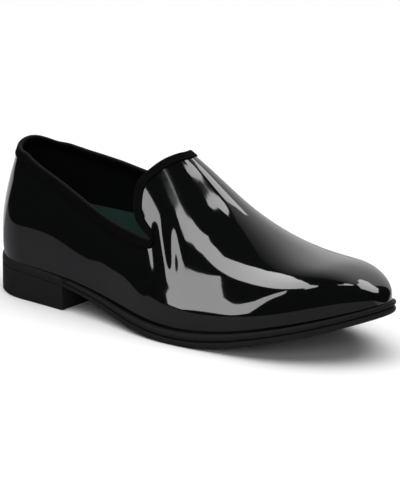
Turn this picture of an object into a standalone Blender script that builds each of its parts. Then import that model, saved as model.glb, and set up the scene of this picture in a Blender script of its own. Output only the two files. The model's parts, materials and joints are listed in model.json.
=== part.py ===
"""Dress loafer, the right shoe of a pair: a plain vamp slip-on built over its last.

The toe points along +X, the outer side of the foot faces -Y and the floor is z = 0. The origin lies on the
floor under the centre of the heel's round. Lengths are metres. The last is a row of sections worked out from
SECTIONS, and every piece takes its form from it.
"""
import math
from collections import namedtuple

import bmesh
import bpy
import numpy as np

# Driving sizes
LAST_LENGTH = 0.292         # feather line, back of the heel to the tip of the toe
BALL_WIDTH = 0.096          # feather line at the ball
INSTEP_HEIGHT = 0.112       # ridge of the last above the feather line at the back
HEEL_HEIGHT = 0.0195        # underside of the outsole above the floor at the back
TOE_SPRING = 0.0290         # underside of the outsole above the floor at the tip
SOLE_EDGE = 0.0086          # feather line to the underside at the ball
SOLE_REACH = 0.0044         # outsole past the feather line at the ball
HEEL_ROUND = 0.0336         # back of the heel to the centre of its round
BREAST = 0.0712             # back of the heel to the heel's front face
WALL = 0.0018               # upper with its lining
GAP = 0.0003                # clearance between pieces that meet
BINDING_WIDTH = 0.0046
BINDING_CLOTH = 0.0006
BINDING_GAP = 0.0004        # a little more than GAP, as both bend round the notches
INSOLE_THICKNESS = 0.0030
INSOLE_INSET = 0.0006       # past the wall and its gap
WELT_INNER = 0.0070         # welt inside the feather line
WELT_SHARE = 0.46           # of the sole's edge
RIB_ROUND = 0.40            # rounding of welt and outsole, as a share of their height
LIP_ROUND = 0.0012          # top edge of the outsole over the heel
SEAM_ROUND = 0.0002         # edges where heel and outsole meet
TREAD_ROUND = 0.0008        # lower edge of the heel
TREAD_WEAR = 0.0004         # ground flat at the ball
STEP_RUN = 0.0004           # slope of the outsole's step at the end of the welt

# Where the plan and the ridge of the toe begin to close, as shares of the last's length
TOE_CLOSES = 0.72
TOE_DROPS = 0.86
TOE_POWER = 2.6

# A row for each section. along: share of LAST_LENGTH. out, inn, lean: shares of BALL_WIDTH, the half widths
# at the feather line and the shift of the ridge to the inner side. lift, spring, edge: shares of HEEL_HEIGHT,
# TOE_SPRING and SOLE_EDGE, whose sum is the height of the feather line. ridge: share of INSTEP_HEIGHT.
# square: above 0 the section is tent-like, below 0 it is boxy. tuck: degrees that the wall bulges over the
# feather line. reach: share of SOLE_REACH.
Section = namedtuple("Section", "along out inn lean lift spring edge ridge square tuck reach")
SECTIONS = (
    Section(0.00, 0.365, 0.328, 0.000, 1.000, 0.000, 0.58, 1.000, 0.065, 10, 0.25),
    Section(0.12, 0.385, 0.328, 0.000, 0.950, 0.000, 0.56, 1.025, 0.045, 10, 0.30),
    Section(0.25, 0.411, 0.323, 0.010, 0.805, 0.000, 0.59, 1.005, 0.045, 10, 0.48),
    Section(0.38, 0.456, 0.339, 0.031, 0.436, 0.000, 0.71, 0.920, 0.045, 8, 0.70),
    Section(0.50, 0.527, 0.385, 0.052, 0.087, 0.000, 0.91, 0.781, 0.036, 8, 0.93),
    Section(0.60, 0.538, 0.443, 0.056, 0.015, 0.000, 1.00, 0.607, 0.022, 9, 0.98),
    Section(0.70, 0.512, 0.469, 0.052, 0.000, 0.128, 1.00, 0.451, 0.002, 10, 1.00),
    Section(0.80, 0.485, 0.434, 0.021, 0.000, 0.380, 0.95, 0.336, -0.020, 12, 0.95),
    Section(0.90, 0.438, 0.379, -0.010, 0.000, 0.670, 0.92, 0.252, -0.045, 13.5, 0.80),
    Section(1.00, 0.362, 0.324, -0.021, 0.000, 1.000, 0.88, 0.152, -0.065, 13.5, 0.50),
)

# The top edge of the upper on the flat plan of the last, from the back of the collar round to the tongue.
# along: share of LAST_LENGTH. across: share of BALL_WIDTH. faces: the share of LAST_LENGTH of the station on
# the feather line that it looks down to.
Edge = namedtuple("Edge", "along across faces")
BACK_EDGE = Edge(0.0364, 0.000, 0.000)
TONGUE_EDGE = Edge(0.4640, 0.000, 1.000)
OUTER_EDGE = (
    Edge(0.0417, 0.098, 0.009),
    Edge(0.0578, 0.187, 0.034),
    Edge(0.0832, 0.253, 0.071),
    Edge(0.115, 0.2856, 0.115),
    Edge(0.195, 0.3184, 0.195),
    Edge(0.282, 0.3477, 0.283),
    Edge(0.366, 0.3787, 0.362),
    Edge(0.449, 0.4118, 0.436),
    Edge(0.473, 0.4185, 0.463),
    Edge(0.4835, 0.4160, 0.486),
    Edge(0.4795, 0.4060, 0.512),
    Edge(0.463, 0.3965, 0.540),
    Edge(0.437, 0.3759, 0.580),
    Edge(0.4205, 0.350, 0.620),
    Edge(0.409, 0.300, 0.680),
    Edge(0.4210, 0.236, 0.775),
    Edge(0.4412, 0.160, 0.870),
    Edge(0.4580, 0.072, 0.965),
)
INNER_EDGE = (
    Edge(0.0413, 0.093, 0.009),
    Edge(0.0566, 0.176, 0.034),
    Edge(0.0821, 0.2325, 0.071),
    Edge(0.100, 0.2517, 0.094),
    Edge(0.120, 0.2579, 0.120),
    Edge(0.155, 0.2587, 0.155),
    Edge(0.195, 0.2574, 0.195),
    Edge(0.240, 0.2552, 0.240),
    Edge(0.282, 0.2540, 0.283),
    Edge(0.325, 0.2545, 0.324),
    Edge(0.366, 0.2625, 0.362),
    Edge(0.410, 0.2775, 0.402),
    Edge(0.449, 0.2943, 0.436),
    Edge(0.473, 0.3010, 0.463),
    Edge(0.4835, 0.3000, 0.486),
    Edge(0.4795, 0.2935, 0.512),
    Edge(0.463, 0.2865, 0.540),
    Edge(0.437, 0.273, 0.580),
    Edge(0.4205, 0.256, 0.620),
    Edge(0.409, 0.220, 0.680),
    Edge(0.4210, 0.176, 0.775),
    Edge(0.4412, 0.124, 0.870),
    Edge(0.4580, 0.058, 0.965),
)

# Mesh steps. A span ends at a share of LAST_LENGTH and is cut into so many stations.
Span = namedtuple("Span", "end steps")
UPPER_SPANS = (Span(0.115, 8), Span(0.42, 11), Span(0.55, 14), Span(0.72, 8), Span(1.0, 15))
UPPER_ROWS = 8
BINDING_ROWS = 1
LOW_PULL = 0.45             # how squarely the upper's lines leave the feather line and the top edge
TOP_PULL = 0.75

LEATHER = ("patent_leather", (0.006, 0.007, 0.008), 0.08, 0.0)
GROSGRAIN = ("grosgrain", (0.025, 0.026, 0.028), 0.8, 0.0)
RUBBER = ("black_rubber", (0.022, 0.022, 0.023), 0.45, 0.0)
SOCK = ("green_leather", (0.016, 0.045, 0.040), 0.6, 0.0)


def cubic(xs, ys):
    """Natural cubic spline through the points, as a function."""
    xs = np.array(xs, float)
    ys = np.array(ys, float)
    count = len(xs)
    step = np.diff(xs)
    system = np.eye(count)
    bend = np.zeros(count)
    for i in range(1, count - 1):
        system[i, i - 1:i + 2] = step[i - 1], 2 * (step[i - 1] + step[i]), step[i]
        bend[i] = 6 * ((ys[i + 1] - ys[i]) / step[i] - (ys[i] - ys[i - 1]) / step[i - 1])
    curve = np.linalg.solve(system, bend)

    def value(x):
        x = np.asarray(x, float)
        i = np.clip(np.searchsorted(xs, x) - 1, 0, count - 2)
        left = x - xs[i]
        right = xs[i + 1] - x
        return ((curve[i] * right ** 3 + curve[i + 1] * left ** 3) / (6 * step[i])
                + (ys[i] / step[i] - curve[i] * step[i] / 6) * right
                + (ys[i + 1] / step[i] - curve[i + 1] * step[i] / 6) * left)
    return value


def column(name, size):
    """A column of SECTIONS as a length along the last."""
    return cubic([s.along * LAST_LENGTH for s in SECTIONS], [getattr(s, name) * size for s in SECTIONS])


outer_width = column("out", BALL_WIDTH)
inner_width = column("inn", BALL_WIDTH)
lean = column("lean", BALL_WIDTH)
lift = column("lift", HEEL_HEIGHT)
spring = column("spring", TOE_SPRING)
edge = column("edge", SOLE_EDGE)
ridge_height = column("ridge", INSTEP_HEIGHT)
square = column("square", 1.0)
tuck = column("tuck", math.radians(1.0))
reach = column("reach", SOLE_REACH)


def closing(x, start):
    """1 along the last, falling to 0 in a round nose at its tip."""
    share = np.clip((x / LAST_LENGTH - start) / (1 - start), 0, 1)
    return np.sqrt(np.maximum(0.0, 1 - share ** TOE_POWER))


def underside(x):
    """Height of the outsole's underside: heel, arch, flat tread and toe spring."""
    return np.maximum(0.0, lift(x) + spring(x) - TREAD_WEAR)


def feather(x):
    """Height of the feather line, where the upper meets the sole."""
    return lift(x) + spring(x) + edge(x)


def on_last(x, across):
    """Points of the last over its flat plan: across is 0 on the ridge and -1 or 1 on the feather line."""
    x, across = np.broadcast_arrays(np.asarray(x, float), np.asarray(across, float))
    side = np.where(across < 0, -1.0, 1.0)
    back = np.maximum(0.0, 1 - x / HEEL_ROUND)
    out = np.hypot(back, across)
    cos_back = np.where(out > 1e-9, back / np.maximum(out, 1e-9), 0.0)
    sin_back = np.where(out > 1e-9, np.abs(across) / np.maximum(out, 1e-9), 1.0)
    station = np.where(back > 0, HEEL_ROUND * (1 - cos_back), x)
    low = tuck(station)
    shape = square(station)
    angle = np.arccos(np.clip(out, 0, 1)) / (math.pi / 2) * (math.pi / 2 + low) - low
    swell = (np.cos(angle) + shape * np.cos(3 * angle)) / (np.cos(low) + shape * np.cos(3 * low))
    rise = ((np.sin(angle) + np.sin(low) - shape * (np.sin(3 * angle) + np.sin(3 * low)))
            / (1 + np.sin(low) - shape * (np.sin(3 * low) - 1)))
    px = np.where(back > 0, HEEL_ROUND * (1 - swell * cos_back), x)
    close = closing(px, TOE_CLOSES)
    half = (outer_width(px) + inner_width(px)) / 2 * close
    middle = (inner_width(px) - outer_width(px)) / 2 * close
    ridge = lean(px) * close
    centre = ridge + (middle - ridge) * (np.cos(angle) / np.cos(low)) ** 2
    py = centre + side * half * swell * sin_back
    pz = feather(px) + ridge_height(px) * closing(px, TOE_DROPS) * rise
    return np.stack([px, py, pz], -1)


def stations(spans):
    """Places along the last, from the back of the heel to the tip, closer together round heel and toe."""
    places = [HEEL_ROUND * (1 - math.cos(math.pi / 2 * i / spans[0].steps)) for i in range(spans[0].steps)]
    start = HEEL_ROUND
    for span in spans[1:-1]:
        end = span.end * LAST_LENGTH
        places += [start + (end - start) * i / span.steps for i in range(span.steps)]
        start = end
    last = spans[-1]
    places += [start + (LAST_LENGTH - start) * math.sin(math.pi / 2 * i / last.steps) ** (2 / TOE_POWER)
               for i in range(last.steps + 1)]
    return np.array(places)


def feather_round(places):
    """The feather line as a closed loop on the flat plan: back, outer side, tip, inner side."""
    across = np.where(places < HEEL_ROUND, np.sqrt(np.maximum(0, 1 - (1 - places / HEEL_ROUND) ** 2)), 1.0)
    x = np.concatenate([places, places[-2:0:-1]])
    return x, np.concatenate([-across, across[-2:0:-1]])


def turn_along(places):
    """How far each station lies from the back, measured along the feather line, as a share of one side."""
    x, across = feather_round(places)
    line = on_last(x, across)[:len(places), :2]
    far = np.concatenate([[0], np.cumsum(np.linalg.norm(np.diff(line, axis=0), axis=1))])
    return far / far[-1]


def top_edge(places):
    """The top edge of the upper on the flat plan, a point facing each point of the feather line."""
    dense = stations(tuple(Span(s.end, s.steps * 8) for s in UPPER_SPANS))
    measured = turn_along(dense)

    def where(row):
        return float(np.interp(row.faces * LAST_LENGTH, dense, measured))

    turns, xs, ys = [], [], []
    for row in (BACK_EDGE,) + OUTER_EDGE + (TONGUE_EDGE,):
        turns.append(where(row))
        xs.append(row.along * LAST_LENGTH)
        ys.append(-row.across * BALL_WIDTH)
    for row in INNER_EDGE[::-1] + (BACK_EDGE,):
        turns.append(2 - where(row))
        xs.append(row.along * LAST_LENGTH)
        ys.append(row.across * BALL_WIDTH)
    # The curve runs on for a few rows past the back, so that it closes smoothly
    lead = 4
    turns = [t - 2 for t in turns[-1 - lead:-1]] + turns + [t + 2 for t in turns[1:1 + lead]]
    xs = xs[-1 - lead:-1] + xs + xs[1:1 + lead]
    ys = ys[-1 - lead:-1] + ys + ys[1:1 + lead]
    share = turn_along(places)
    turn = np.concatenate([share, 2 - share[-2:0:-1]])
    return cubic(turns, xs)(turn), cubic(turns, ys)(turn)


def plan_width(x, side):
    """Half width of the flat plan on one side, before the heel's round."""
    return np.where(side < 0, outer_width(x), inner_width(x)) * closing(x, TOE_CLOSES)


def unit(vectors):
    return vectors / np.maximum(np.linalg.norm(vectors, axis=-1, keepdims=True), 1e-12)


def on_plan(flat):
    """Points of the last from x and y on its flat plan."""
    x, y = flat[..., 0], flat[..., 1]
    return on_last(x, np.clip(y / np.maximum(plan_width(x, y), 1e-9), -1, 1))


def upper_lines():
    """Ends and end directions of the lines that run up the upper, from the feather line to the top edge.

    They leave both lines squarely, so they bend round the side notches.
    """
    places = stations(UPPER_SPANS)
    low_x, low_across = feather_round(places)
    low = np.column_stack([low_x, low_across * plan_width(low_x, low_across)])
    top = np.column_stack(top_edge(places))
    along = unit(np.roll(low, -1, 0) - np.roll(low, 1, 0))
    inward = np.column_stack([-along[:, 1], along[:, 0]])
    small = 1e-5
    by_x = on_plan(top + [small, 0]) - on_plan(top - [small, 0])
    by_y = on_plan(top + [0, small]) - on_plan(top - [0, small])
    rim = on_plan(np.roll(top, -1, 0)) - on_plan(np.roll(top, 1, 0))
    square_off = unit(np.column_stack([-np.sum(by_y * rim, -1), np.sum(by_x * rim, -1)]))
    chord = np.linalg.norm(top - low, axis=-1, keepdims=True)
    return low, top, inward * chord * LOW_PULL, square_off * chord * TOP_PULL


def upper_face(shares):
    """Rings of the upper's outer face, one for each share of the way from the feather line to the top edge.

    A share is one number for the whole ring, or a row with one for each of its points.
    """
    low, top, leave, arrive = upper_lines()
    t = np.array([np.broadcast_to(share, low[:, 0].shape) for share in shares])[..., None]
    flat = (low * (2 * t ** 3 - 3 * t ** 2 + 1) + leave * (t ** 3 - 2 * t ** 2 + t)
            + top * (3 * t ** 2 - 2 * t ** 3) + arrive * (t ** 3 - t ** 2))
    return on_plan(flat)


def face_normals(grid):
    """Outward normals of a grid of rings."""
    around = np.roll(grid, -1, 1) - np.roll(grid, 1, 1)
    return unit(np.cross(around, np.gradient(grid, axis=0)))


def body_rows(count):
    """Shares from the feather line to the top edge, closer together where the last turns down."""
    return [1 - math.cos(math.pi / 2 * i / count) for i in range(count + 1)]


def binding_rows():
    """Shares of the rows under the binding's legs, spaced square to the top edge, lowest first."""
    shares = np.linspace(0.5, 1, 51)
    grid = upper_face(shares)
    step = np.diff(grid, axis=0)[::-1]
    far = np.vstack([np.zeros(grid.shape[1]), np.cumsum(np.linalg.norm(step, axis=-1), 0)])
    along = unit(np.roll(grid[-1], -1, 0) - np.roll(grid[-1], 1, 0))
    slant = np.linalg.norm(np.cross(along, unit(step[0])), axis=-1)
    rows = []
    for i in range(BINDING_ROWS, -1, -1):
        want = BINDING_WIDTH * i / BINDING_ROWS / slant
        rows.append([float(np.interp(want[j], far[:, j], shares[::-1])) for j in range(far.shape[1])])
    return rows


def material(name, colour, roughness, metallic):
    """A Principled BSDF, made once for each name."""
    made = bpy.data.materials.get(name)
    if made:
        return made
    made = bpy.data.materials.new(name)
    made.use_nodes = True
    shader = made.node_tree.nodes["Principled BSDF"]
    shader.inputs["Base Color"].default_value = (*colour, 1.0)
    shader.inputs["Roughness"].default_value = roughness
    shader.inputs["Metallic"].default_value = metallic
    made.diffuse_color = (*colour, 1.0)
    return made


def add_solid(name, points, faces, finish, carrier):
    """A mesh object from points in last coordinates, under the carrier."""
    origin = np.array([HEEL_ROUND, float(inner_width(HEEL_ROUND) - outer_width(HEEL_ROUND)) / 2, 0.0])
    mesh = bpy.data.meshes.new(name)
    mesh.from_pydata([tuple(p) for p in np.asarray(points) - origin], [], faces)
    shape = bmesh.new()
    shape.from_mesh(mesh)
    bmesh.ops.recalc_face_normals(shape, faces=shape.faces)
    shape.to_mesh(mesh)
    shape.free()
    made = bpy.data.objects.new(name, mesh)
    made.data.materials.append(material(*finish))
    bpy.context.collection.objects.link(made)
    made.parent = carrier
    return made


def ring_faces(first, second, count):
    """Quads between two rings that start at the given point numbers."""
    return [(first + i, first + (i + 1) % count, second + (i + 1) % count, second + i) for i in range(count)]


def ladder_faces(start, count):
    """Faces across a ring that starts at the back and mirrors its outer side on its inner side."""
    faces = [(start, start + 1, start + count - 1)]
    for i in range(1, (count - 1) // 2):
        faces.append((start + i, start + i + 1, start + count - i - 1, start + count - i))
    if count % 2 == 0:
        faces.append((start + count // 2 - 1, start + count // 2, start + count // 2 + 1))
    return faces


def loft(loops, capped):
    """Points and faces of a solid through closed loops: capped at both ends, or closed on itself."""
    count = len(loops[0])
    points = np.concatenate(loops)
    faces = []
    for i in range(len(loops) - 1):
        faces += ring_faces(i * count, (i + 1) * count, count)
    if capped:
        faces += ladder_faces(0, count) + ladder_faces((len(loops) - 1) * count, count)
    else:
        faces += ring_faces((len(loops) - 1) * count, 0, count)
    return points, faces


def upper_wall():
    """The upper's outer face, with the binding's rows at its top, and its outward normals."""
    binding = binding_rows()
    grid = upper_face([share * np.array(binding[0]) for share in body_rows(UPPER_ROWS)] + binding[1:])
    return grid, face_normals(grid)


def add_upper(carrier):
    """One hollow wall from the feather line to the top edge."""
    grid, normal = upper_wall()
    inner = grid - normal * WALL
    points, faces = loft(list(grid) + list(inner[::-1]), capped=False)
    return add_solid("upper", points, faces, LEATHER, carrier)


def add_binding(carrier):
    """Cloth folded over the top edge: an outer leg, the fold and an inner leg."""
    grid, normal = upper_wall()
    grid, normal = grid[-1 - BINDING_ROWS:], normal[-1 - BINDING_ROWS:]
    along = np.roll(grid[-1], -1, 0) - np.roll(grid[-1], 1, 0)
    up = unit(np.cross(along, normal[-1]))
    up *= np.sign(np.sum(up * (grid[-1] - grid[-2]), -1, keepdims=True))
    outside = BINDING_GAP
    inside = -WALL - BINDING_GAP
    going_up = range(BINDING_ROWS + 1)
    going_down = range(BINDING_ROWS, -1, -1)
    crown = grid[-1] + up * (BINDING_GAP + BINDING_CLOTH)
    loops = [grid[i] + normal[i] * outside for i in going_up]
    fold = grid[-1] + up * BINDING_GAP
    loops += [fold + normal[-1] * outside, fold + normal[-1] * inside]
    loops += [grid[i] + normal[i] * inside for i in going_down]
    loops += [grid[i] + normal[i] * (inside - BINDING_CLOTH) for i in going_up]
    soft = BINDING_CLOTH / 3
    loops += [crown + normal[-1] * (inside - soft), crown + normal[-1] * (outside + soft)]
    loops += [grid[i] + normal[i] * (outside + BINDING_CLOTH) for i in going_down]
    points, faces = loft(loops, capped=False)
    return add_solid("topline_binding", points, faces, GROSGRAIN, carrier)


def sole_stations():
    """Stations of the sole, with a short step at the end of the welt just before the heel's breast."""
    spans = (Span(HEEL_ROUND / LAST_LENGTH, 8), Span(BREAST / LAST_LENGTH, 5),
             Span((BREAST + STEP_RUN) / LAST_LENGTH, 1), Span((BREAST + 2 * STEP_RUN) / LAST_LENGTH, 1),
             Span(0.45, 9), Span(TOE_CLOSES, 11), Span(1.0, 13))
    return stations(spans)


def both_sides(values, places):
    """Values of the stations for a whole ring: back, outer side, tip, inner side."""
    values = np.broadcast_to(values, places.shape)
    return np.concatenate([values, values[-2:0:-1]])


def sole_loop(places, offset, height):
    """The feather line moved outward in plan. height gives z from each point's x and its station."""
    line = on_last(*feather_round(places))[:, :2]
    along = unit(unit(np.roll(line, -1, 0) - line) + unit(line - np.roll(line, 1, 0)))
    out = np.stack([along[:, 1], -along[:, 0]], -1)
    moved = line + out * both_sides(offset, places)[:, None]
    return np.column_stack([moved, height(moved[:, 0], both_sides(places, places))])


def raised(height, offset):
    """A height function moved up by a length for each point, which may depend on its x and station."""
    return lambda x, station: height(x, station) + offset(x, station)


def rib(places, outer, top, bottom, top_round, bottom_round):
    """Loops of a rounded rib on the sole's side, from its top to its bottom."""
    loops = []
    for turn in (0, 30, 60, 90):
        flat = 1 - math.sin(math.radians(turn))
        drop = 1 - math.cos(math.radians(turn))
        loops.append(sole_loop(places, outer - top_round(places, places) * flat,
                               raised(top, lambda x, station: -drop * top_round(x, station))))
    for turn in (90, 60, 30, 0):
        flat = 1 - math.sin(math.radians(turn))
        drop = 1 - math.cos(math.radians(turn))
        loops.append(sole_loop(places, outer - bottom_round(places, places) * flat,
                               raised(bottom, lambda x, station: drop * bottom_round(x, station))))
    return loops


def over_heel(station):
    return station < BREAST + STEP_RUN / 2


def welt_height(x):
    return WELT_SHARE * edge(x)


def bed_level(x, station):
    """Top of the welt and of the outsole's bed, just under the upper and the insole."""
    return feather(x) - GAP


def welt_floor(x, station):
    return bed_level(x, station) - welt_height(x)


def shelf_level(x, station):
    """Top of the outsole's edge: under the welt, and full height over the heel."""
    return np.where(over_heel(station), bed_level(x, station), welt_floor(x, station) - GAP)


def tread_level(x, station):
    return underside(x)


def add_insole(carrier):
    """Insole with its sock, inside the upper's wall."""
    places = sole_stations()
    inset = -(WALL + GAP + INSOLE_INSET)
    chamfer = INSOLE_THICKNESS / 4
    loops = [sole_loop(places, inset, lambda x, station: feather(x)),
             sole_loop(places, inset, lambda x, station: feather(x) + INSOLE_THICKNESS - chamfer),
             sole_loop(places, inset - chamfer, lambda x, station: feather(x) + INSOLE_THICKNESS)]
    points, faces = loft(loops, capped=True)
    return add_solid("insole", points, faces, SOCK, carrier)


def add_welt(carrier):
    """Welt from the outer side of the heel's breast round the toe to the inner side."""
    places = sole_stations()
    loops = [sole_loop(places, -WELT_INNER, welt_floor), sole_loop(places, -WELT_INNER, bed_level)]
    loops += rib(places, reach(places), bed_level, welt_floor,
                 lambda x, station: RIB_ROUND * welt_height(x), lambda x, station: RIB_ROUND * welt_height(x))
    first = int(np.argmin(np.abs(places - BREAST - 2 * STEP_RUN)))
    rows = np.array(loops)[:, first:len(loops[0]) - first + 1]
    high, wide = rows.shape[:2]
    faces = []
    for i in range(high):
        above = (i + 1) % high
        for j in range(wide - 1):
            faces.append((i * wide + j, i * wide + j + 1, above * wide + j + 1, above * wide + j))
    faces.append(tuple(i * wide for i in range(high)))
    faces.append(tuple(i * wide + wide - 1 for i in reversed(range(high))))
    return add_solid("welt", rows.reshape(-1, 3), faces, RUBBER, carrier)


def add_outsole(carrier):
    """Outsole with its bed inside the welt, full to the feather line over the heel."""
    places = sole_stations()

    def rib_round(x, station):
        return RIB_ROUND * (shelf_level(x, station) - tread_level(x, station))

    def shoulder(x, station):
        return np.where(over_heel(station), LIP_ROUND, rib_round(x, station))

    def foot(x, station):
        return np.where(over_heel(station), SEAM_ROUND, rib_round(x, station))

    bed = -(WELT_INNER + GAP)
    loops = [sole_loop(places, bed - STEP_RUN, bed_level), sole_loop(places, bed, shelf_level)]
    loops += rib(places, reach(places), shelf_level, tread_level, shoulder, foot)
    points, faces = loft(loops, capped=True)
    return add_solid("outsole", points, faces, RUBBER, carrier)


def add_heel(carrier):
    """Heel block with a straight breast, flush with the outsole's side."""
    places = sole_stations()
    breast = int(np.argmin(np.abs(places - BREAST)))
    count = 2 * len(places) - 2
    keep = list(range(breast + 1)) + list(range(count - breast, count))
    levels = ((SEAM_ROUND, lambda x, station: tread_level(x, station) - GAP),
              (0.0, lambda x, station: tread_level(x, station) - GAP - SEAM_ROUND),
              (0.0, lambda x, station: TREAD_ROUND + 0 * x),
              (TREAD_ROUND, lambda x, station: 0 * x))
    loops = []
    for inset, height in levels:
        loop = sole_loop(places, reach(places) - inset, height)[keep]
        loop[breast:breast + 2, 0] = BREAST - inset
        loops.append(loop)
    points, faces = loft(loops, capped=True)
    return add_solid("heel", points, faces, RUBBER, carrier)


def main():
    for old in list(bpy.data.objects):
        bpy.data.objects.remove(old)
    shoe = bpy.data.objects.new("dress_loafer", None)
    bpy.context.collection.objects.link(shoe)
    add_outsole(shoe)
    add_heel(shoe)
    add_welt(shoe)
    add_insole(shoe)
    add_upper(shoe)
    add_binding(shoe)


main()
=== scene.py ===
"""Looks of a black patent dress loafer, a right shoe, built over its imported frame.

The upper, its lining and the bound top edge are made again from the last's own functions, fine enough for a
mirror gloss. The sole's pieces keep their solids, smoothed and given a moulded finish. Lengths are metres: the
toe points along +X, the outer side of the foot faces -Y and the floor is z = 0.
"""
from __future__ import annotations

import json
import logging
import math
from dataclasses import dataclass, field
from enum import Enum
from typing import Any, Callable, NamedTuple, Sequence

import bpy
import numpy as np
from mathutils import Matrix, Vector

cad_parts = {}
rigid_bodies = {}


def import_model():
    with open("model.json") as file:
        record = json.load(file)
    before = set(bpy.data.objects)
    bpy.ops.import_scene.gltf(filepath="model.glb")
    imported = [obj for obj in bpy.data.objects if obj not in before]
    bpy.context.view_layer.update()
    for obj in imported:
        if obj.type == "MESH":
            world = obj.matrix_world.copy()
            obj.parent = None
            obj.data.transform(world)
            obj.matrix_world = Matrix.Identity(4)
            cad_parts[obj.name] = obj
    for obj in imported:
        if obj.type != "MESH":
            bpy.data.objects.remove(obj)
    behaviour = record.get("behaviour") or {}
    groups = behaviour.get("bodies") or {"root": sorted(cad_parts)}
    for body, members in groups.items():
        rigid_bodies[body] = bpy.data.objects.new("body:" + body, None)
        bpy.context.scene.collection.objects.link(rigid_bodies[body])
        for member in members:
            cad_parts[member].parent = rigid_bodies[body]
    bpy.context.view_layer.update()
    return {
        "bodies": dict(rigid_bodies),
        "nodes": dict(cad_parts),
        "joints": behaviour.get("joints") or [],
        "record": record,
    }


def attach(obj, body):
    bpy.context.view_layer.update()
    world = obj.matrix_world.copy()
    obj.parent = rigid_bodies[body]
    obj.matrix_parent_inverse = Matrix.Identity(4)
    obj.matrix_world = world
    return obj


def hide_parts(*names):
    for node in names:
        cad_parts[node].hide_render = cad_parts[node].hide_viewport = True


LOG = logging.getLogger("dress_loafer")
BODY = "root"
SEAM_MERGE = 1e-7
SENSOR_HEIGHT = 36.0
FADE = ((0.0, 0.6), (0.2, 0.85), (0.4, 1.0), (0.6, 0.85), (0.82, 0.28), (1.0, 0.02))
Colour = tuple[float, float, float]


class Section(NamedTuple):
    """One section of the last, as shares of its named sizes."""

    along: float
    out: float
    inn: float
    lean: float
    lift: float
    spring: float
    edge: float
    ridge: float
    square: float
    tuck: float


SECTIONS = (
    Section(0.00, 0.365, 0.328, 0.000, 1.000, 0.000, 0.58, 1.000, 0.065, 10),
    Section(0.12, 0.385, 0.328, 0.000, 0.950, 0.000, 0.56, 1.025, 0.045, 10),
    Section(0.25, 0.411, 0.323, 0.010, 0.805, 0.000, 0.59, 1.005, 0.045, 10),
    Section(0.38, 0.456, 0.339, 0.031, 0.436, 0.000, 0.71, 0.920, 0.045, 8),
    Section(0.50, 0.527, 0.385, 0.052, 0.087, 0.000, 0.91, 0.781, 0.036, 8),
    Section(0.60, 0.538, 0.443, 0.056, 0.015, 0.000, 1.00, 0.607, 0.022, 9),
    Section(0.70, 0.512, 0.469, 0.052, 0.000, 0.128, 1.00, 0.451, 0.002, 10),
    Section(0.80, 0.485, 0.434, 0.021, 0.000, 0.380, 0.95, 0.336, -0.020, 12),
    Section(0.90, 0.438, 0.379, -0.010, 0.000, 0.670, 0.92, 0.252, -0.045, 13.5),
    Section(1.00, 0.362, 0.324, -0.021, 0.000, 1.000, 0.88, 0.152, -0.065, 13.5),
)


class Edge(NamedTuple):
    """A point of the upper's top edge on the flat plan, and the station of the feather line that it faces."""

    along: float
    across: float
    faces: float


BACK_EDGE = Edge(0.0364, 0.000, 0.000)
TONGUE_EDGE = Edge(0.4640, 0.000, 1.000)
OUTER_EDGE = (
    Edge(0.0417, 0.098, 0.009),
    Edge(0.0578, 0.187, 0.034),
    Edge(0.0832, 0.253, 0.071),
    Edge(0.115, 0.2856, 0.115),
    Edge(0.195, 0.3184, 0.195),
    Edge(0.282, 0.3477, 0.283),
    Edge(0.366, 0.3787, 0.362),
    Edge(0.449, 0.4118, 0.436),
    Edge(0.473, 0.4185, 0.463),
    Edge(0.4835, 0.4160, 0.486),
    Edge(0.4795, 0.4060, 0.512),
    Edge(0.463, 0.3965, 0.540),
    Edge(0.437, 0.3759, 0.580),
    Edge(0.4205, 0.350, 0.620),
    Edge(0.409, 0.300, 0.680),
    Edge(0.4210, 0.236, 0.775),
    Edge(0.4412, 0.160, 0.870),
    Edge(0.4580, 0.072, 0.965),
)
INNER_EDGE = (
    Edge(0.0413, 0.093, 0.009),
    Edge(0.0566, 0.176, 0.034),
    Edge(0.0821, 0.2325, 0.071),
    Edge(0.100, 0.2517, 0.094),
    Edge(0.120, 0.2579, 0.120),
    Edge(0.155, 0.2587, 0.155),
    Edge(0.195, 0.2574, 0.195),
    Edge(0.240, 0.2552, 0.240),
    Edge(0.282, 0.2540, 0.283),
    Edge(0.325, 0.2545, 0.324),
    Edge(0.366, 0.2625, 0.362),
    Edge(0.410, 0.2775, 0.402),
    Edge(0.449, 0.2943, 0.436),
    Edge(0.473, 0.3010, 0.463),
    Edge(0.4835, 0.3000, 0.486),
    Edge(0.4795, 0.2935, 0.512),
    Edge(0.463, 0.2865, 0.540),
    Edge(0.437, 0.273, 0.580),
    Edge(0.4205, 0.256, 0.620),
    Edge(0.409, 0.220, 0.680),
    Edge(0.4210, 0.176, 0.775),
    Edge(0.4412, 0.124, 0.870),
    Edge(0.4580, 0.058, 0.965),
)


def unit(vectors: np.ndarray) -> np.ndarray:
    """Vectors scaled to length one."""
    return vectors / np.maximum(np.linalg.norm(vectors, axis=-1, keepdims=True), 1e-12)


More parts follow.
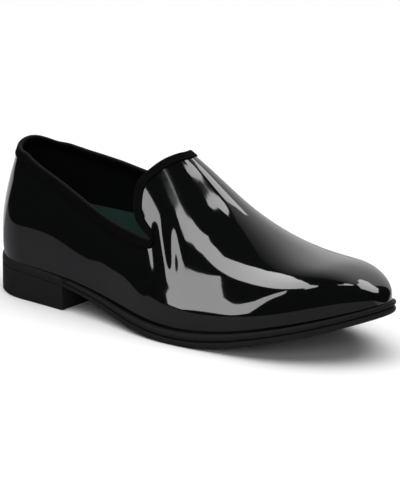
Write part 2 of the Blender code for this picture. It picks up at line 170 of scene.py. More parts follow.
def cubic(xs: Sequence[float], ys: Sequence[float]) -> Callable[[np.ndarray], np.ndarray]:
    """Natural cubic spline through points.

    Args:
        xs: places of the points, rising.
        ys: values at the points.

    Returns:
        The spline as a function of an array of places.
    """
    knots = np.array(xs, float)
    values = np.array(ys, float)
    count = len(knots)
    step = np.diff(knots)
    system = np.eye(count)
    bend = np.zeros(count)
    for i in range(1, count - 1):
        system[i, i - 1:i + 2] = step[i - 1], 2 * (step[i - 1] + step[i]), step[i]
        bend[i] = 6 * ((values[i + 1] - values[i]) / step[i] - (values[i] - values[i - 1]) / step[i - 1])
    curve = np.linalg.solve(system, bend)

    def value(place: np.ndarray) -> np.ndarray:
        """Value of the spline at each place."""
        x = np.asarray(place, float)
        i = np.clip(np.searchsorted(knots, x) - 1, 0, count - 2)
        left = x - knots[i]
        right = knots[i + 1] - x
        return ((curve[i] * right ** 3 + curve[i + 1] * left ** 3) / (6 * step[i])
                + (values[i] / step[i] - curve[i] * step[i] / 6) * right
                + (values[i + 1] / step[i] - curve[i + 1] * step[i] / 6) * left)

    return value


@dataclass
class Last:
    """The form that the shoe is made over, worked out from its named sizes and its table of sections."""

    length: float = 0.292
    ball_width: float = 0.096
    instep_height: float = 0.112
    heel_height: float = 0.0195
    toe_spring: float = 0.0290
    sole_edge: float = 0.0086
    heel_round: float = 0.0336
    toe_closes: float = 0.72
    toe_drops: float = 0.86
    toe_power: float = 2.6
    low_pull: float = 0.45
    top_pull: float = 0.75
    even_until: float = 0.6
    toe_crowding: float = 1.6
    samples: int = 400
    columns: dict[str, Callable[[np.ndarray], np.ndarray]] = field(default_factory=dict)

    def __post_init__(self) -> None:
        """Work the table's columns out as lengths along the last."""
        sizes = {"out": self.ball_width, "inn": self.ball_width, "lean": self.ball_width,
                 "lift": self.heel_height, "spring": self.toe_spring, "edge": self.sole_edge,
                 "ridge": self.instep_height, "square": 1.0, "tuck": math.radians(1.0)}
        places = [row.along * self.length for row in SECTIONS]
        for name, size in sizes.items():
            self.columns[name] = cubic(places, [getattr(row, name) * size for row in SECTIONS])

    @property
    def origin(self) -> np.ndarray:
        """The frame's origin in the last's own coordinates."""
        half = float(self.columns["inn"](self.heel_round) - self.columns["out"](self.heel_round)) / 2
        return np.array([self.heel_round, half, 0.0])

    def closing(self, x: np.ndarray, start: float) -> np.ndarray:
        """1 along the last, falling to 0 in a round nose at its tip."""
        share = np.clip((x / self.length - start) / (1 - start), 0, 1)
        return np.sqrt(np.maximum(0.0, 1 - share ** self.toe_power))

    def feather(self, x: np.ndarray) -> np.ndarray:
        """Height of the feather line, where the upper meets the sole."""
        return self.columns["lift"](x) + self.columns["spring"](x) + self.columns["edge"](x)

    def surface(self, x: np.ndarray, across: np.ndarray) -> np.ndarray:
        """Points of the last over its flat plan.

        Args:
            x: places along the last.
            across: 0 on the ridge, -1 and 1 on the feather line of the outer and the inner side.

        Returns:
            The points in the last's own coordinates.
        """
        x, across = np.broadcast_arrays(np.asarray(x, float), np.asarray(across, float))
        side = np.where(across < 0, -1.0, 1.0)
        back = np.maximum(0.0, 1 - x / self.heel_round)
        out = np.hypot(back, across)
        cos_back = np.where(out > 1e-9, back / np.maximum(out, 1e-9), 0.0)
        sin_back = np.where(out > 1e-9, np.abs(across) / np.maximum(out, 1e-9), 1.0)
        station = np.where(back > 0, self.heel_round * (1 - cos_back), x)
        low = self.columns["tuck"](station)
        shape = self.columns["square"](station)
        angle = np.arccos(np.clip(out, 0, 1)) / (math.pi / 2) * (math.pi / 2 + low) - low
        swell = (np.cos(angle) + shape * np.cos(3 * angle)) / (np.cos(low) + shape * np.cos(3 * low))
        rise = ((np.sin(angle) + np.sin(low) - shape * (np.sin(3 * angle) + np.sin(3 * low)))
                / (1 + np.sin(low) - shape * (np.sin(3 * low) - 1)))
        px = np.where(back > 0, self.heel_round * (1 - swell * cos_back), x)
        close = self.closing(px, self.toe_closes)
        outer, inner = self.columns["out"](px), self.columns["inn"](px)
        ridge = self.columns["lean"](px) * close
        middle = (inner - outer) / 2 * close
        centre = ridge + (middle - ridge) * (np.cos(angle) / np.cos(low)) ** 2
        py = centre + side * (outer + inner) / 2 * close * swell * sin_back
        pz = self.feather(px) + self.columns["ridge"](px) * self.closing(px, self.toe_drops) * rise
        return np.stack([px, py, pz], -1)

    def on_plan(self, flat: np.ndarray) -> np.ndarray:
        """Points of the last from x and y on its flat plan."""
        x, y = flat[..., 0], flat[..., 1]
        return self.surface(x, np.clip(y / np.maximum(self.plan_width(x, y), 1e-9), -1, 1))

    def plan_width(self, x: np.ndarray, side: np.ndarray) -> np.ndarray:
        """Half width of the flat plan on one side, before the heel's round."""
        width = np.where(side < 0, self.columns["out"](x), self.columns["inn"](x))
        return width * self.closing(x, self.toe_closes)

    def half_round(self, steps: int) -> tuple[np.ndarray, np.ndarray]:
        """Stations of one side of the feather line, evenly spaced along it, from the back to the tip.

        Args:
            steps: number of steps from the back to the tip.

        Returns:
            The places along the last, and how far across its round each lies.
        """
        turn = np.linspace(0, math.pi / 2, self.samples)
        middle = np.linspace(self.heel_round, self.even_until * self.length, self.samples)
        heel = self.heel_round * (1 - np.cos(turn))
        toe = self.length - (self.length - middle[-1]) * (1 - np.sin(turn)) ** self.toe_crowding
        dense = np.unique(np.concatenate([heel, middle, toe]))
        across = self.round_across(dense)
        line = self.surface(dense, -across)[:, :2]
        far = np.concatenate([[0], np.cumsum(np.linalg.norm(np.diff(line, axis=0), axis=1))])
        even = np.interp(np.linspace(0, far[-1], steps + 1), far, np.arange(len(dense)))
        places = np.interp(even, np.arange(len(dense)), dense)
        return places, self.round_across(places)

    def round_across(self, places: np.ndarray) -> np.ndarray:
        """How far across the heel's round each station of the feather line lies."""
        inside = np.sqrt(np.maximum(0, 1 - (1 - np.minimum(places, self.heel_round) / self.heel_round) ** 2))
        return np.where(places < self.heel_round, inside, 1.0)


@dataclass
class Shell:
    """The upper's outer face as lines that run up from the feather line to the top edge."""

    last: Last
    steps: int = 288
    strip_from: float = 0.6
    strip_samples: int = 161

    def __post_init__(self) -> None:
        """Lay out the ends of the lines and the directions in which they leave and arrive."""
        last = self.last
        places, across = last.half_round(self.steps)
        x = np.concatenate([places, places[-2:0:-1]])
        side = np.concatenate([-across, across[-2:0:-1]])
        self.low = np.column_stack([x, side * last.plan_width(x, side)])
        self.top = np.column_stack(self.top_edge(places))
        along = unit(np.roll(self.low, -1, 0) - np.roll(self.low, 1, 0))
        inward = np.column_stack([-along[:, 1], along[:, 0]])
        small = 1e-5
        by_x = last.on_plan(self.top + [small, 0]) - last.on_plan(self.top - [small, 0])
        by_y = last.on_plan(self.top + [0, small]) - last.on_plan(self.top - [0, small])
        rim = last.on_plan(np.roll(self.top, -1, 0)) - last.on_plan(np.roll(self.top, 1, 0))
        square_off = unit(np.column_stack([-np.sum(by_y * rim, -1), np.sum(by_x * rim, -1)]))
        chord = np.linalg.norm(self.top - self.low, axis=-1, keepdims=True)
        self.leave = inward * chord * last.low_pull
        self.arrive = square_off * chord * last.top_pull

    @property
    def around(self) -> int:
        """Number of lines round the shoe."""
        return len(self.low)

    def top_edge(self, places: np.ndarray) -> tuple[np.ndarray, np.ndarray]:
        """The top edge on the flat plan, a point facing each station of the feather line.

        Args:
            places: the stations of one side, from the back to the tip.

        Returns:
            Its x and its y for the whole ring.
        """
        last = self.last
        share = np.linspace(0, 1, len(places))

        def where(row: Edge) -> float:
            """Share of one side at which a row's station lies."""
            return float(np.interp(row.faces * last.length, places, share))

        turns, xs, ys = [], [], []
        for row in (BACK_EDGE,) + OUTER_EDGE + (TONGUE_EDGE,):
            turns.append(where(row))
            xs.append(row.along * last.length)
            ys.append(-row.across * last.ball_width)
        for row in INNER_EDGE[::-1] + (BACK_EDGE,):
            turns.append(2 - where(row))
            xs.append(row.along * last.length)
            ys.append(row.across * last.ball_width)
        lead = 4
        turns = [t - 2 for t in turns[-1 - lead:-1]] + turns + [t + 2 for t in turns[1:1 + lead]]
        xs = xs[-1 - lead:-1] + xs + xs[1:1 + lead]
        ys = ys[-1 - lead:-1] + ys + ys[1:1 + lead]
        turn = np.concatenate([share, 2 - share[-2:0:-1]])
        return cubic(turns, xs)(turn), cubic(turns, ys)(turn)

    def rings(self, shares: Sequence[Any]) -> np.ndarray:
        """Rings of points in the frame's coordinates, one for each share of the way up."""
        t = np.array([np.broadcast_to(share, (self.around,)) for share in shares])[..., None]
        flat = (self.low * (2 * t ** 3 - 3 * t ** 2 + 1) + self.leave * (t ** 3 - 2 * t ** 2 + t)
                + self.top * (3 * t ** 2 - 2 * t ** 3) + self.arrive * (t ** 3 - t ** 2))
        return self.last.on_plan(flat) - self.last.origin

    def strip(self, width: float, rows: int) -> list[np.ndarray]:
        """Shares of evenly spaced rings down to a width below the top edge, lowest first."""
        shares = np.linspace(self.strip_from, 1, self.strip_samples)
        grid = self.rings(shares)
        step = np.diff(grid, axis=0)[::-1]
        far = np.vstack([np.zeros(self.around), np.cumsum(np.linalg.norm(step, axis=-1), 0)])
        along = unit(np.roll(grid[-1], -1, 0) - np.roll(grid[-1], 1, 0))
        slant = np.linalg.norm(np.cross(along, unit(step[0])), axis=-1)
        found = []
        for i in range(rows, -1, -1):
            want = width * i / rows / slant
            found.append(np.array([np.interp(want[j], far[:, j], shares[::-1]) for j in range(self.around)]))
        return found


def normals_of(grid: np.ndarray) -> np.ndarray:
    """Outward normals of a grid of closed rings."""
    around = np.roll(grid, -1, 1) - np.roll(grid, 1, 1)
    return unit(np.cross(around, np.gradient(grid, axis=0)))


class Side(Enum):
    """The side of the foot that a crease lies on."""

    OUTER = -1
    INNER = 1


@dataclass(frozen=True)
class Crease:
    """A soft trough in the upper, from one point to another in side view, with a ridge on each flank."""

    side: Side
    start: tuple[float, float]
    end: tuple[float, float]
    depth: float
    width: float

    def sink(self, points: np.ndarray) -> np.ndarray:
        """How far each point sinks.

        Args:
            points: points of the upper in the frame's coordinates.

        Returns:
            The depth at each point, below zero on the ridges.
        """
        start = np.array(self.start)
        run = np.array(self.end) - start
        length = float(np.linalg.norm(run))
        run = run / length
        off = points[..., [0, 2]] - start
        along = off @ run / length
        across = (off[..., 0] * run[1] - off[..., 1] * run[0]) / self.width
        taper = np.exp(-((along - 0.5) / 0.42) ** 4)
        wave = (1 - 0.55 * across ** 2) * np.exp(-across ** 2 / 2)
        on_side = (np.sign(points[..., 1]) == self.side.value) * 1.0
        return self.depth * taper * wave * on_side


class Socket:
    """A value in a material's node tree that can be used in Python sums."""

    def __init__(self, tree: bpy.types.NodeTree, source: Any) -> None:
        """Wrap a socket of the tree."""
        self.tree = tree
        self.source = source

    def _maths(self, operation: str, first: Any, second: Any) -> "Socket":
        """Add a Math node for two values or sockets."""
        node = self.tree.nodes.new("ShaderNodeMath")
        node.operation = operation
        for slot, value in zip(node.inputs, (first, second)):
            if isinstance(value, Socket):
                self.tree.links.new(value.source, slot)
            elif value is not None:
                slot.default_value = value
        return Socket(self.tree, node.outputs[0])

    def __add__(self, other: Any) -> "Socket":
        """This plus another."""
        return self._maths("ADD", self, other)

    __radd__ = __add__

    def __sub__(self, other: Any) -> "Socket":
        """This less another."""
        return self._maths("SUBTRACT", self, other)

    def __rsub__(self, other: Any) -> "Socket":
        """Another less this."""
        return self._maths("SUBTRACT", other, self)

    def __mul__(self, other: Any) -> "Socket":
        """This times another."""
        return self._maths("MULTIPLY", self, other)

    __rmul__ = __mul__

    def sine(self) -> "Socket":
        """Sine of this, in radians."""
        return self._maths("SINE", self, None)

    def power(self, exponent: float) -> "Socket":
        """This to a power."""
        return self._maths("POWER", self, exponent)

    def above(self, threshold: float) -> "Socket":
        """1 where this is more than the threshold."""
        return self._maths("GREATER_THAN", self, threshold)


class Shade:
    """A material under construction."""

    def __init__(self, name: str, colour: Colour, roughness: float, **settings: float) -> None:
        """Start a Principled material with constants on its sockets."""
        self.material = bpy.data.materials.new(name)
        self.material.use_nodes = True
        self.material.diffuse_color = (*colour, 1.0)
        self.tree = self.material.node_tree
        self.shader = self.tree.nodes["Principled BSDF"]
        self.shader.inputs["Base Color"].default_value = (*colour, 1.0)
        self.shader.inputs["Roughness"].default_value = roughness
        for key, value in settings.items():
            self.shader.inputs[key.replace("_", " ")].default_value = value

    def node(self, kind: str, settings: dict[str, Any], **sockets: Any) -> bpy.types.Node:
        """Add a node.

        Args:
            kind: the node's type.
            settings: its own settings, and a ramp's stops under the key stops.
            sockets: values or links of its sockets, with spaces in names written as underscores.

        Returns:
            The node.
        """
        made = self.tree.nodes.new(kind)
        for key, value in settings.items():
            if key == "stops":
                ramp = made.color_ramp
                while len(ramp.elements) < len(value):
                    ramp.elements.new(0.5)
                for element, (place, shade) in zip(ramp.elements, value):
                    element.position = place
                    element.color = (shade, shade, shade, 1.0)
            else:
                setattr(made, key, value)
        for key, value in sockets.items():
            slot = made.inputs[key.replace("_", " ")]
            if isinstance(value, Socket):
                self.tree.links.new(value.source, slot)
            else:
                slot.default_value = value
        return made

    def place(self, scale: tuple[float, float, float] = (1, 1, 1)) -> Socket:
        """Object coordinates, scaled."""
        source = self.node("ShaderNodeTexCoord", {})
        where = Socket(self.tree, source.outputs["Object"])
        mapped = self.node("ShaderNodeMapping", {}, Vector=where, Scale=scale)
        return Socket(self.tree, mapped.outputs["Vector"])

    def along_uv(self) -> tuple[Socket, Socket]:
        """The piece's own u and v."""
        source = self.node("ShaderNodeUVMap", {})
        split = self.node("ShaderNodeSeparateXYZ", {}, Vector=Socket(self.tree, source.outputs["UV"]))
        return Socket(self.tree, split.outputs["X"]), Socket(self.tree, split.outputs["Y"])

    def noise(self, place: Socket, scale: float, detail: float = 2.0) -> Socket:
        """Noise from 0 to 1."""
        made = self.node("ShaderNodeTexNoise", {}, Vector=place, Scale=scale, Detail=detail)
        return Socket(self.tree, made.outputs["Fac"])

    def ramp(self, value: Socket, *stops: tuple[float, float]) -> Socket:
        """A grey ramp over a value."""
        made = self.node("ShaderNodeValToRGB", {"stops": stops}, Fac=value)
        return Socket(self.tree, made.outputs["Color"])

    def blend(self, factor: Socket, low: Colour, high: Colour) -> Socket:
        """A colour between two, by a factor."""
        made = self.node("ShaderNodeMix", {"data_type": "RGBA"})
        self.tree.links.new(factor.source, made.inputs[0])
        made.inputs[6].default_value = (*low, 1.0)
        made.inputs[7].default_value = (*high, 1.0)
        return Socket(self.tree, made.outputs[2])

    def choose(self, factor: Socket, low: Socket, high: Socket) -> Socket:
        """One of two colours, by a factor."""
        made = self.node("ShaderNodeMix", {"data_type": "RGBA"})
        for slot, value in ((0, factor), (6, low), (7, high)):
            self.tree.links.new(value.source, made.inputs[slot])
        return Socket(self.tree, made.outputs[2])

    def colour(self, value: Socket) -> None:
        """Drive the base colour."""
        self.tree.links.new(value.source, self.shader.inputs["Base Color"])

    def roughness(self, value: Socket) -> None:
        """Drive the roughness."""
        self.tree.links.new(value.source, self.shader.inputs["Roughness"])

    def bump(self, height: Socket, strength: float, distance: float) -> None:
        """Drive the normal from a height from 0 to 1."""
        made = self.node("ShaderNodeBump", {}, Height=height, Strength=strength, Distance=distance)
        self.tree.links.new(made.outputs["Normal"], self.shader.inputs["Normal"])


@dataclass(frozen=True)
class PatentFinish:
    """Black patent leather: a faint orange peel under a mirror coat."""

    name: str = "patent_leather"
    colour: Colour = (0.0022, 0.0025, 0.0026)
    peel: float = 0.00002
    wave_scale: float = 160.0
    grain_scale: float = 900.0

    def make(self) -> bpy.types.Material:
        """The material."""
        shade = Shade(self.name, self.colour, 0.06, Specular_IOR_Level=0.5)
        place = shade.place()
        waves = shade.noise(place, self.wave_scale, 1.0)
        shade.bump(waves, 0.10, self.peel)
        shade.roughness(shade.noise(place, self.grain_scale, 3.0) * 0.03 + 0.03)
        return shade.material


@dataclass(frozen=True)
class LiningFinish:
    """Lining inside the upper: black leather round the collar, dark teal below a level seam."""

    name: str = "lining_leather"
    colour: Colour = (0.0028, 0.0028, 0.0030)
    paler_tone: Colour = (0.0050, 0.0050, 0.0052)
    teal: Colour = (0.0250, 0.0560, 0.0480)
    teal_worn: Colour = (0.0330, 0.0720, 0.0610)
    seam_height: float = 0.0488
    cloud_scale: float = 60.0
    grain_scale: float = 1400.0

    def make(self) -> bpy.types.Material:
        """The material."""
        shade = Shade(self.name, self.colour, 0.6, Specular_IOR_Level=0.12)
        place = shade.place()
        split = shade.node("ShaderNodeSeparateXYZ", {}, Vector=place)
        height = Socket(shade.tree, split.outputs["Z"])
        above = height.above(self.seam_height)
        cloud = shade.noise(place, self.cloud_scale, 3.0)
        grain = shade.noise(place, self.grain_scale, 4.0)
        black = shade.blend(cloud, self.colour, self.paler_tone)
        teal = shade.blend(cloud, self.teal, self.teal_worn)
        shade.colour(shade.choose(above, teal, black))
        shade.roughness(grain * 0.2 + 0.5)
        shade.bump(above * 0.8 + grain * 0.2, 0.5, 0.0004)
        return shade.material


@dataclass(frozen=True)
class RibbonFinish:
    """Ribbed ribbon that binds the top edge: its ribs run across the ribbon. Its rib crests are painted a
    little lighter, a painted highlight on the ribs, and its fold is painted paler still, a painted highlight
    along the folded edge.
    """

    name: str = "grosgrain"
    colour: Colour = (0.0008, 0.0008, 0.0009)
    # colour of the rib crests, lighter than the troughs: a painted highlight on the ribs
    ridge: Colour = (0.0035, 0.0035, 0.0037)
    # paler colour of the fold: a painted highlight along the folded edge
    paler_tone: Colour = (0.0150, 0.0150, 0.0155)
    ribs: int = 330
    threads: float = 150.0
    fibre_scale: float = 2600.0

    def make(self) -> bpy.types.Material:
        """The material."""
        shade = Shade(self.name, self.colour, 0.82, Specular_IOR_Level=0.03)
        along, across = shade.along_uv()
        rib = (along * (self.ribs * 2 * math.pi)).sine() * 0.5 + 0.5
        thread = (across * self.threads).sine() * 0.5 + 0.5
        fibre = shade.noise(shade.place(), self.fibre_scale, 3.0)
        height = rib * 0.75 + thread * 0.1 + fibre * 0.15
        # rib crests painted lighter on the legs: painted highlight
        legs = shade.blend(height.power(1.4), self.colour, self.ridge)
        # the fold is painted paler with its ribs: a painted highlight along the folded edge
        fold = shade.ramp(across, (0.30, 0.0), (0.40, 1.0), (0.52, 1.0), (0.62, 0.0))
        paler_tone = shade.blend(fold * height, self.colour, self.paler_tone)
        shade.colour(shade.choose(fold, legs, paler_tone))
        shade.roughness(fibre * 0.15 + 0.72)
        shade.bump(height, 0.8, 0.00022)
        return shade.material


@dataclass(frozen=True)
class SoleFinish:
    """Moulded black rubber of the welt, outsole and heel, with a fine satin grain."""

    name: str = "black_rubber"
    colour: Colour = (0.0110, 0.0110, 0.0113)
    dusty: Colour = (0.0150, 0.0150, 0.0153)
    cloud_scale: float = 45.0
    grain_scale: float = 2200.0

    def make(self) -> bpy.types.Material:
        """The material."""
        shade = Shade(self.name, self.colour, 0.55, Specular_IOR_Level=0.02)
        place = shade.place()
        grain = shade.noise(place, self.grain_scale, 3.0)
        cloud = shade.noise(place, self.cloud_scale, 3.0)
        shade.colour(shade.blend(cloud, self.colour, self.dusty))
        shade.roughness(cloud * 0.12 + 0.42)
        shade.bump(grain, 0.22, 0.00012)
        return shade.material


@dataclass(frozen=True)
class SockFinish:
    """Dark teal sock lining on the insole."""

    name: str = "green_leather"
    colour: Colour = (0.0145, 0.044, 0.039)
    paler_tone: Colour = (0.024, 0.066, 0.058)
    cloud_scale: float = 30.0
    grain_scale: float = 1100.0

    def make(self) -> bpy.types.Material:
        """The material."""
        shade = Shade(self.name, self.colour, 0.5)
        place = shade.place()
        grain = shade.noise(place, self.grain_scale, 4.0)
        cloud = shade.noise(place, self.cloud_scale, 3.0)
        shade.colour(shade.blend(cloud, self.colour, self.paler_tone))
        shade.roughness(grain * 0.15 + 0.42)
        shade.bump(grain, 0.3, 0.00018)
        return shade.material


def deselect_all() -> None:
    """Leave nothing selected and no object in edit mode."""
    if bpy.context.mode != "OBJECT":
        bpy.ops.object.mode_set(mode="OBJECT")
    bpy.ops.object.select_all(action="DESELECT")


def only(piece: bpy.types.Object) -> None:
    """Make one object the only selected and active one."""
    deselect_all()
    piece.select_set(True)
    bpy.context.view_layer.objects.active = piece


def sheet_over(name: str, rows: np.ndarray) -> bpy.types.Object:
    """A grid primitive laid over rings of points and closed on itself round the shoe.

    Args:
        name: the object's name.
        rows: rings of points, lowest first.

    Returns:
        The object, with u running round the ring and v up it.
    """
    deselect_all()
    up, around = rows.shape[0] - 1, rows.shape[1]
    bpy.ops.mesh.primitive_grid_add(x_subdivisions=around, y_subdivisions=up, size=1, calc_uvs=True)
    piece = bpy.context.object
    piece.name = name
    piece.data.name = name
    flat = np.zeros(len(piece.data.vertices) * 3)
    piece.data.vertices.foreach_get("co", flat)
    flat = flat.reshape(-1, 3)
    column = np.rint((flat[:, 0] + 0.5) * around).astype(int) % around
    row = np.rint((flat[:, 1] + 0.5) * up).astype(int)
    piece.data.vertices.foreach_set("co", rows[row, column].ravel())
    bpy.ops.object.mode_set(mode="EDIT")
    bpy.ops.mesh.select_all(action="SELECT")
    bpy.ops.mesh.remove_doubles(threshold=SEAM_MERGE)
    bpy.ops.object.mode_set(mode="OBJECT")
    return piece


def thicken(piece: bpy.types.Object, wall: float, inner_slot: int = 0) -> None:
    """Give a sheet its wall, inwards, with its inner face in a material slot of its own."""
    only(piece)
    modifier = piece.modifiers.new("wall", "SOLIDIFY")
    modifier.thickness = wall
    modifier.offset = -1
    modifier.use_even_offset = False
    modifier.material_offset = inner_slot
    bpy.ops.object.modifier_apply(modifier=modifier.name)


def smooth(piece: bpy.types.Object, angle: float) -> None:
    """Shade smooth, with edges sharper than an angle kept hard."""
    only(piece)
    bpy.ops.object.shade_smooth_by_angle(angle=math.radians(angle))


@dataclass
class Upper:
    """The patent leather upper with its lining."""

    shell: Shell
    wall: float = 0.0018
    rows: int = 76
    creases: tuple[Crease, ...] = (
        Crease(Side.OUTER, (0.101, 0.070), (0.122, 0.036), 0.00035, 0.0035),
        Crease(Side.OUTER, (0.112, 0.074), (0.133, 0.040), 0.00030, 0.0032),
        Crease(Side.OUTER, (0.090, 0.050), (0.118, 0.022), 0.00025, 0.0045),
        Crease(Side.OUTER, (0.030, 0.060), (0.075, 0.034), 0.00025, 0.0070),
        Crease(Side.INNER, (0.104, 0.072), (0.126, 0.036), 0.00035, 0.0035),
        Crease(Side.INNER, (0.060, 0.052), (0.100, 0.030), 0.00030, 0.0060),
    )

    def outer_face(self) -> np.ndarray:
        """Rings of the creased outer face, from the feather line to the top edge."""
        turn = np.linspace(0, 1, self.rows + 1)
        grid = self.shell.rings(list(turn * 0.72 + 0.28 * turn ** 2))
        sink = np.zeros(grid.shape[:2])
        for crease in self.creases:
            sink += crease.sink(grid)
        hold = np.clip((turn - 0.03) / 0.15, 0, 1) * np.clip((1 - turn) / 0.08, 0, 1)
        hold = hold ** 2 * (3 - 2 * hold)
        return grid - normals_of(grid) * (sink * hold[:, None])[..., None]

    def build(self, leather: bpy.types.Material, lining: bpy.types.Material) -> bpy.types.Object:
        """Build the upper.

        Args:
            leather: finish of the outer face.
            lining: finish of the inner face.

        Returns:
            The piece.
        """
        piece = sheet_over("upper_shell", self.outer_face())
        piece.data.materials.append(leather)
        piece.data.materials.append(lining)
        thicken(piece, self.wall, inner_slot=1)
        smooth(piece, 50)
        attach(piece, BODY)
        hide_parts("upper")
        return piece


@dataclass
class Binding:
    """Ribbed ribbon folded over the top edge."""

    shell: Shell
    wall: float = 0.0018
    width: float = 0.0046
    cloth: float = 0.0007
    clearance: float = 0.00025
    leg_rows: int = 6
    fold_rows: int = 8

    def profile(self) -> np.ndarray:
        """Rings of the ribbon's outer surface: up the outer leg, over the fold and down the inner leg."""
        shares = self.shell.strip(self.width, self.leg_rows)
        grid = self.shell.rings(shares)
        normal = normals_of(grid)
        along = np.roll(grid[-1], -1, 0) - np.roll(grid[-1], 1, 0)
        up = unit(np.cross(along, normal[-1]))
        up *= np.sign(np.sum(up * (grid[-1] - grid[-2]), -1, keepdims=True))
        outside = self.clearance + self.cloth
        inside = -(self.wall + self.clearance + self.cloth)
        middle = (outside + inside) / 2
        radius = (outside - inside) / 2
        rings = [grid[0] + normal[0] * (self.clearance * 0.3)]
        rings += [grid[i] + normal[i] * outside for i in range(self.leg_rows + 1)]
        for i in range(1, self.fold_rows):
            turn = math.pi * i / self.fold_rows
            rings.append(grid[-1] + normal[-1] * (middle + radius * math.cos(turn))
                         + up * radius * 0.85 * math.sin(turn))
        rings += [grid[i] + normal[i] * inside for i in range(self.leg_rows, -1, -1)]
        rings.append(grid[0] + normal[0] * (inside + self.cloth * 0.9))
        return np.array(rings)

    def build(self, ribbon: bpy.types.Material) -> bpy.types.Object:
        """Build the binding with its ribbon finish."""
        piece = sheet_over("bound_edge", self.profile())
        piece.data.materials.append(ribbon)
        smooth(piece, 60)
        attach(piece, BODY)
        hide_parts("topline_binding")
        return piece


@dataclass
class Sole:
    """Welt, outsole, heel and insole: their solids, merged, smoothed and dressed."""

    frame: dict[str, Any]
    merge: float = 1e-6
    quads_within: float = 60.0
    smooth_within: float = 40.0

    def dress(self, node: str, name: str, finish: bpy.types.Material) -> bpy.types.Object:
        """Copy a solid, merge its loose triangles and smooth it.

        Args:
            node: the solid's node.
            name: the new piece's name.
            finish: its material.

        Returns:
            The piece that stands for the node.
        """
        deselect_all()
        source = self.frame["nodes"][node]
        piece = source.copy()
        piece.data = source.data.copy()
        piece.name = name
        for key in list(piece.keys()):
            del piece[key]
        piece.parent = None
        bpy.context.scene.collection.objects.link(piece)
        only(piece)
        bpy.ops.object.mode_set(mode="EDIT")
        bpy.ops.mesh.select_all(action="SELECT")
        bpy.ops.mesh.remove_doubles(threshold=self.merge)
        limit = math.radians(self.quads_within)
        bpy.ops.mesh.tris_convert_to_quads(face_threshold=limit, shape_threshold=limit)
        bpy.ops.object.mode_set(mode="OBJECT")
        piece.data.materials.clear()
        piece.data.materials.append(finish)
        smooth(piece, self.smooth_within)
        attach(piece, BODY)
        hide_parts(node)
        return piece

    def build(self, rubber: bpy.types.Material, sock: bpy.types.Material) -> list[bpy.types.Object]:
        """Build the pieces under the foot."""
        return [
            self.dress("welt", "welt_rib", rubber),
            self.dress("outsole", "outsole_body", rubber),
            self.dress("heel", "heel_block", rubber),
            self.dress("insole", "sock_lining", sock),
        ]


def direction(azimuth: float, elevation: float) -> Vector:
    """Unit vector from the shoe towards an azimuth and an elevation in degrees."""
    turn, tilt = math.radians(azimuth), math.radians(elevation)
    return Vector((math.sin(turn) * math.cos(tilt), -math.cos(turn) * math.cos(tilt), math.sin(tilt)))


def gloss_only(name: str, corners: Sequence[Any], finish: bpy.types.Material) -> None:
    """A flat piece of the studio that only the gloss sees.

    Args:
        name: its name.
        corners: its corners in the frame's coordinates.
        finish: its material.
    """
    mesh = bpy.data.meshes.new(name)
    mesh.from_pydata(corners, [], [tuple(range(len(corners)))])
    made = bpy.data.objects.new(name, mesh)
    bpy.context.scene.collection.objects.link(made)
    made.data.materials.append(finish)
    made.visible_camera = False
    made.visible_diffuse = False
    made.visible_shadow = False


@dataclass(frozen=True)
class Card:
    """A flat light panel.

    Its centre stands off from the shoe in a direction, and its corners are metres to the right and up on it,
    as seen from the shoe. One that fades follows the stops of FADE from the floor up to a height.
    """

    name: str
    azimuth: float
    elevation: float
    distance: float
    corners: tuple[tuple[float, float], ...]
    glow: float
    fades_over: float = 0.0

    def points(self, middle: Vector) -> list[Vector]:
        """Corners in the frame's coordinates."""
        turn = math.radians(self.azimuth)
        away = direction(self.azimuth, self.elevation)
        right = Vector((math.cos(turn), math.sin(turn), 0))
        up = away.cross(right)
        return [middle + away * self.distance + right * x + up * y for x, y in self.corners]


CARDS = (
    Card("front_panel", -32, 25, 1.4, (
        (-0.07, -0.76), (0.10, -0.78), (0.26, -0.60), (0.25, -0.30), (0.21, -0.05), (0.17, 0.10),
        (0.135, 0.30), (0.12, 0.47), (0.06, 0.60), (-0.05, 0.72), (-0.12, 0.78), (-0.10, 0.60),
        (-0.07, 0.45), (-0.05, 0.33), (0.00, 0.10), (-0.01, -0.05), (0.00, -0.25), (-0.05, -0.45)), 6.4),
    Card("ceiling_panel", 0, 90, 1.25, (
        (-1.10, 0.45), (-0.84, 0.45), (-0.74, 0.27), (-0.66, 0.18), (-0.55, 0.03), (-0.42, -0.11),
        (-0.34, -0.21), (-0.29, -0.275), (-0.17, -0.30), (-0.11, -0.335), (-0.055, -0.32), (-0.03, -0.41),
        (0.00, -0.47), (-0.04, -0.58), (-0.17, -0.72), (-0.235, -0.76), (-0.215, -0.67), (-0.25, -0.66),
        (-0.27, -0.61), (-0.46, -0.59), (-0.63, -0.54), (-0.75, -0.49), (-0.86, -0.41), (-1.10, -0.40)), 7.5),
    Card("vamp_strip", 0, 90, 1.25, (
        (0.225, 0.02), (0.215, 0.10), (0.225, 0.18), (0.235, 0.25), (0.220, 0.29), (0.160, 0.37),
        (0.190, 0.52), (0.240, 0.60), (0.280, 0.58), (0.300, 0.47), (0.304, 0.33), (0.295, 0.27),
        (0.287, 0.20), (0.275, 0.14), (0.255, 0.06)), 7.5),
    Card("toe_panel", 165, 45, 1.4, (
        (0.30, 0.02), (0.20, -0.06), (0.05, -0.10), (-0.15, -0.20), (-0.42, -0.22), (-0.52, 0.00),
        (-0.38, 0.40), (-0.02, 0.30), (0.12, 0.15), (0.24, 0.10)), 6.0),
    Card("back_sweep", 165, 45, 1.42, (
        (0.00, -1.45), (0.02, -0.05), (-0.08, 0.30), (0.06, 0.60), (0.35, 0.75), (1.00, 1.00),
        (1.50, 0.90), (1.90, 0.20), (3.60, -0.20), (3.60, -1.45)), 1.25, 1.75),
)


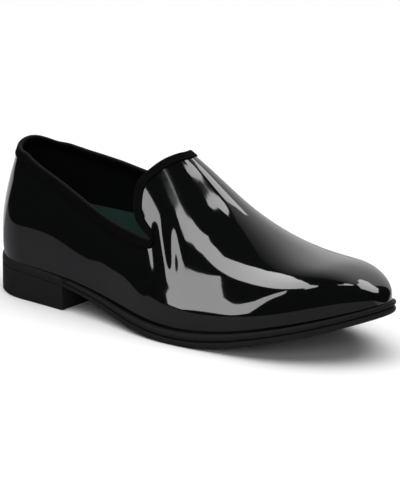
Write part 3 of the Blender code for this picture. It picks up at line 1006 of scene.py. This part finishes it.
@dataclass
class Studio:
    """Floor, lights and camera."""

    target: tuple[float, float, float] = (0.11507, 0.00318, 0.0477)
    card_middle: tuple[float, float, float] = (0.10, 0.0, 0.05)
    azimuth: float = 38.0
    elevation: float = 16.0
    distance: float = 2.4
    focal_pixels: float = 3848.6
    frame_pixels: tuple[int, int] = (400, 489)
    floor_size: float = 12.0
    floor_colour: Colour = (0.88, 0.88, 0.885)
    floor_roughness: float = 0.9
    mirrored_height: float = 0.0002
    # the mirrored floor next to the shoe is grey: painted shade of the floor beside the shoe, seen only in the
    # gloss
    near_floor_painted_shade: tuple[tuple[float, float], ...] = (
        (-0.40, 0.04), (-0.30, -0.05), (-0.22, -0.24), (0.00, -0.27),
        (0.20, -0.30), (0.60, -0.36), (1.00, 0.04))
    near_painted_shade_colour: Colour = (0.26, 0.26, 0.275)
    far_floor: tuple[tuple[float, float], ...] = ((-1.00, 0.04), (1.20, 0.04), (1.20, 1.40), (-1.00, 1.40))
    far_colour: Colour = (0.80, 0.80, 0.80)

    def camera(self) -> None:
        """Place the camera at the photograph's angle."""
        back = direction(self.azimuth, self.elevation)
        data = bpy.data.cameras.new("camera")
        data.sensor_fit = "VERTICAL"
        data.sensor_height = SENSOR_HEIGHT
        data.lens = self.focal_pixels * SENSOR_HEIGHT / self.frame_pixels[1]
        made = bpy.data.objects.new("camera", data)
        made.location = Vector(self.target) + back * self.distance
        made.rotation_euler = back.to_track_quat("Z", "Y").to_euler()
        bpy.context.scene.collection.objects.link(made)
        bpy.context.scene.camera = made

    def floor(self) -> None:
        """A plain white floor, and the parts of it that only the gloss mirrors: the near part is grey, painted
        shade of the floor beside the shoe.
        """
        deselect_all()
        bpy.ops.mesh.primitive_plane_add(size=self.floor_size, location=(0, 0, 0))
        made = bpy.context.object
        made.name = "floor"
        made.data.materials.append(self.matte("studio_floor", self.floor_colour))
        made.visible_glossy = False
        for name, corners, colour in (("near_floor_painted_shade", self.near_floor_painted_shade, self.near_painted_shade_colour),
                                      ("far_floor", self.far_floor, self.far_colour)):
            raised = [(x, y, self.mirrored_height) for x, y in corners]
            gloss_only(name, raised, self.matte(name, colour))

    def matte(self, name: str, colour: Colour) -> bpy.types.Material:
        """A dull material for the floor."""
        return Shade(name, colour, self.floor_roughness, Specular_IOR_Level=0.1).material

    def lamp(self, name: str, place: tuple[float, float, float], size: tuple[float, float],
             power: float) -> None:
        """A soft rectangular light that faces the shoe and doesn't show in its gloss.

        Args:
            name: its name.
            place: where it stands.
            size: its width and height.
            power: watts.
        """
        data = bpy.data.lights.new(name, "AREA")
        data.shape = "RECTANGLE"
        data.size, data.size_y = size
        data.energy = power
        made = bpy.data.objects.new(name, data)
        made.location = place
        away = Vector(place) - Vector(self.target)
        made.rotation_euler = away.to_track_quat("Z", "Y").to_euler()
        made.visible_glossy = False
        bpy.context.scene.collection.objects.link(made)

    def panel(self, card: Card) -> None:
        """Hang one light panel."""
        shade = Shade(card.name, (0, 0, 0), 1.0, Specular_IOR_Level=0.0, Emission_Strength=card.glow)
        shade.shader.inputs["Emission Color"].default_value = (1, 1, 1, 1)
        if card.fades_over:
            split = shade.node("ShaderNodeSeparateXYZ", {}, Vector=shade.place())
            height = Socket(shade.tree, split.outputs["Z"]) * (1 / card.fades_over)
            glow = shade.ramp(height, *FADE)
            shade.tree.links.new(glow.source, shade.shader.inputs["Emission Color"])
        gloss_only(card.name, card.points(Vector(self.card_middle)), shade.material)

    def build(self) -> None:
        """Set up the whole studio."""
        self.camera()
        self.floor()
        self.lamp("overhead", (0.1, 0.0, 2.1), (3.6, 3.6), 100)
        self.lamp("front_fill", (1.4, -1.6, 0.9), (1.4, 1.0), 14)
        for card in CARDS:
            self.panel(card)
        world = bpy.data.worlds.new("studio")
        bpy.context.scene.world = world
        world.use_nodes = True
        world.node_tree.nodes["Background"].inputs["Color"].default_value = (0.02, 0.02, 0.021, 1)
        bpy.context.scene.view_settings.view_transform = "Standard"
        bpy.context.scene.view_settings.look = "None"


def main() -> None:
    """Build the loafer's looks and the studio."""
    logging.basicConfig(level=logging.INFO, format="%(name)s: %(message)s")
    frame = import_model()
    shell = Shell(Last())
    pieces = [
        Upper(shell).build(PatentFinish().make(), LiningFinish().make()),
        Binding(shell).build(RibbonFinish().make()),
    ]
    pieces += Sole(frame).build(SoleFinish().make(), SockFinish().make())
    for piece in pieces:
        LOG.info("%s: %d faces", piece.name, len(piece.data.polygons))
    Studio().build()


if __name__ == "__main__":
    main()
